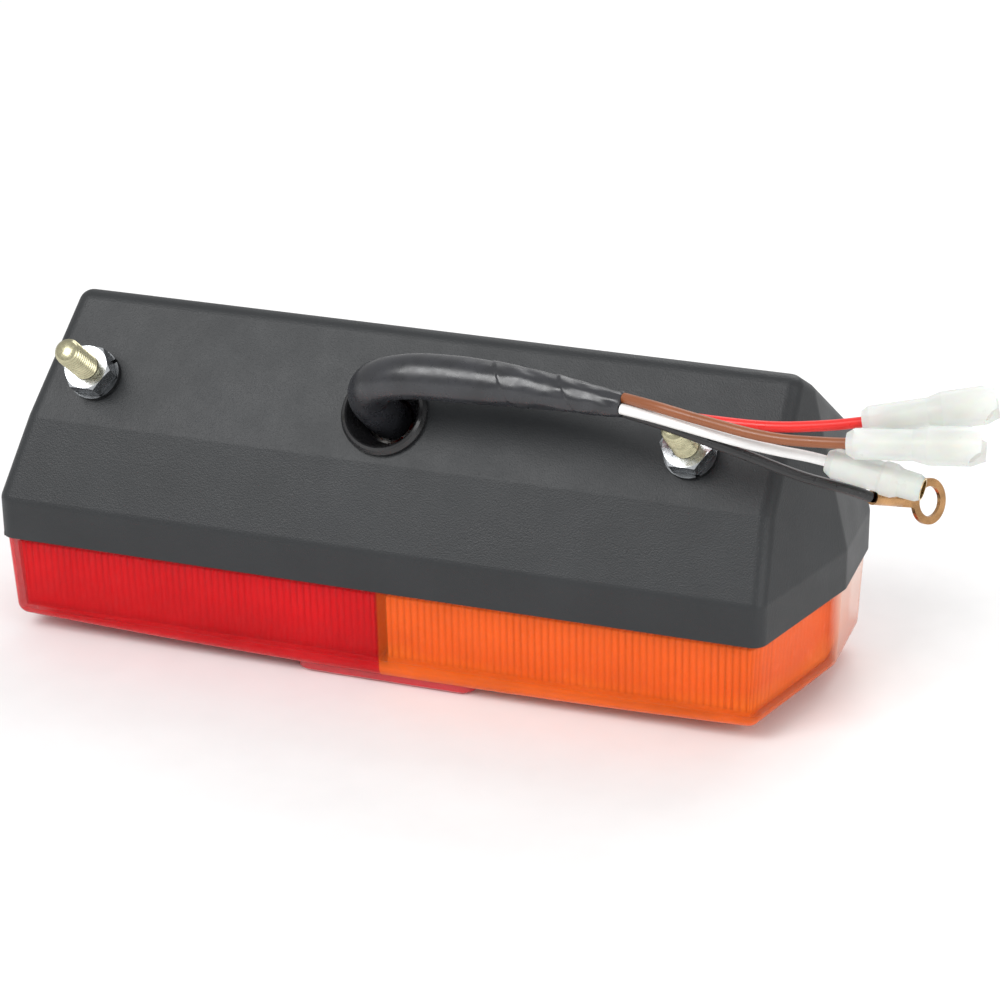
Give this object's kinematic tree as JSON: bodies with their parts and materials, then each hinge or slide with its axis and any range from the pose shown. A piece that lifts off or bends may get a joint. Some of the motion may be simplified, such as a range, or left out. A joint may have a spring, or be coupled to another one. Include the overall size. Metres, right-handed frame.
{
  "type": "trailer tail light",
  "caption": "Trailer tail light: black back housing with mounting studs, red and amber lenses, reflex reflector, bayonet bulbs and a multi-wire lead.",
  "frame": {"origin": "middle of the lamp's own box, on the plane of the reflector's front face", "axes": "+X along the lamp towards the amber end; -Y towards the side of the mounting face and cable; +Z from the lens front up to the ridge of the housing"},
  "size_m": [0.2256, 0.0679, 0.0867],
  "materials": {
    "housing": "fine-textured black moulding",
    "thread": "yellow zinc plated thread",
    "nut": "bright zinc plated",
    "washer": "dark phosphated spring steel",
    "grommet": "smooth black rubber",
    "lens_red": "fluted red acrylic",
    "lens_amber": "fluted amber acrylic",
    "reflector": "prismatic red reflector",
    "seal": "soft black seal",
    "screw": "zinc plated",
    "plate": "white painted sheet",
    "partition": "black divider",
    "brass": "plain brass",
    "glass": "clear bulb glass",
    "filament": "tungsten on glass stem",
    "carrier": "brown phenolic disc",
    "spring": "bright spring wire",
    "sleeve": "black pvc sleeve, taped end",
    "wire_red": "pvc insulation",
    "wire_brown": "pvc insulation",
    "wire_white": "pvc insulation",
    "wire_black": "pvc insulation",
    "cover": "milky translucent pvc",
    "copper": "bare copper alloy"
  },
  "bodies": {
    "housing_body": {"housing": "housing", "stud_left": "thread", "stud_right": "thread", "cable_grommet": "grommet", "lens_seal": "seal", "bulb_plate": "plate", "plate_screws": "screw", "partition": "partition", "socket_rivets": "brass", "socket_tail": "brass", "contact_spring_tail": "spring", "socket_turn": "brass", "contact_spring_turn": "spring", "cable_sleeve": "sleeve", "sleeve_taped_end": "sleeve", "wire_red": "wire_red", "wire_brown": "wire_brown", "wire_white": "wire_white", "wire_black": "wire_black", "cover_red": "cover", "cover_brown": "cover", "cover_white": "cover", "bullet_red": "brass", "bullet_brown": "brass", "receptacle_white": "brass", "crimp_barrel_white": "brass", "ring_terminal": "copper", "inner_lead_tail": "wire_brown", "inner_lead_stop": "wire_red", "inner_lead_turn": "wire_white", "inner_lead_earth": "wire_black"},
    "lens_body": {"lens_red": "lens_red", "lens_amber": "lens_amber", "reflex_reflector": "reflector", "lens_screws": "screw"},
    "washer_left_body": {"lock_washer_left": "washer"},
    "nut_left_body": {"nut_left": "nut"},
    "washer_right_body": {"lock_washer_right": "washer"},
    "nut_right_body": {"nut_right": "nut"},
    "carrier_tail_body": {"contact_carrier_tail": "carrier"},
    "bulb_tail_body": {"bulb_cap_tail": "brass", "bulb_glass_tail": "glass", "filament_tail": "filament"},
    "carrier_turn_body": {"contact_carrier_turn": "carrier"},
    "bulb_turn_body": {"bulb_cap_turn": "brass", "bulb_glass_turn": "glass", "filament_turn": "filament"}
  },
  "joints": [
    {"name": "lens_lift_off", "type": "slide", "parent": "housing_body", "child": "lens_body", "axis": [0, 0, -1], "range_m": [0, 0.045]},
    {"name": "washer_slide_left", "type": "slide", "parent": "housing_body", "child": "washer_left_body", "axis": [0, -0.766, 0.6428], "range_m": [0, 0.008]},
    {"name": "nut_turn_left", "type": "hinge", "parent": "washer_left_body", "child": "nut_left_body", "pos_m": [-0.076, -0.01563, 0.06259], "axis": [0, -0.766, 0.6428], "range_deg": [0, 2880.5]},
    {"name": "washer_slide_right", "type": "slide", "parent": "housing_body", "child": "washer_right_body", "axis": [0, -0.766, 0.6428], "range_m": [0, 0.008]},
    {"name": "nut_turn_right", "type": "hinge", "parent": "washer_right_body", "child": "nut_right_body", "pos_m": [0.064, -0.01563, 0.06259], "axis": [0, -0.766, 0.6428], "range_deg": [0, 2880.5]},
    {"name": "contact_push_tail", "type": "slide", "parent": "housing_body", "child": "carrier_tail_body", "axis": [1, 0, 0], "range_m": [0, 0.002], "stiffness_N_per_m": 2500, "deforming": ["contact_spring_tail"]},
    {"name": "bulb_turn_tail", "type": "hinge", "parent": "carrier_tail_body", "child": "bulb_tail_body", "pos_m": [-0.0306, 0.002, 0.034], "axis": [1, 0, 0], "range_deg": [0, 20]},
    {"name": "contact_push_turn", "type": "slide", "parent": "housing_body", "child": "carrier_turn_body", "axis": [-1, 0, 0], "range_m": [0, 0.002], "stiffness_N_per_m": 2500, "deforming": ["contact_spring_turn"]},
    {"name": "bulb_turn_turn", "type": "hinge", "parent": "carrier_turn_body", "child": "bulb_turn_body", "pos_m": [0.0256, 0.002, 0.034], "axis": [-1, 0, 0], "range_deg": [0, 20]}
  ],
  "couplings": [
    {"joint": "nut_turn_left", "follows": "washer_slide_left", "rad_per_m": 6283.2},
    {"joint": "nut_turn_right", "follows": "washer_slide_right", "rad_per_m": 6283.2}
  ]
}
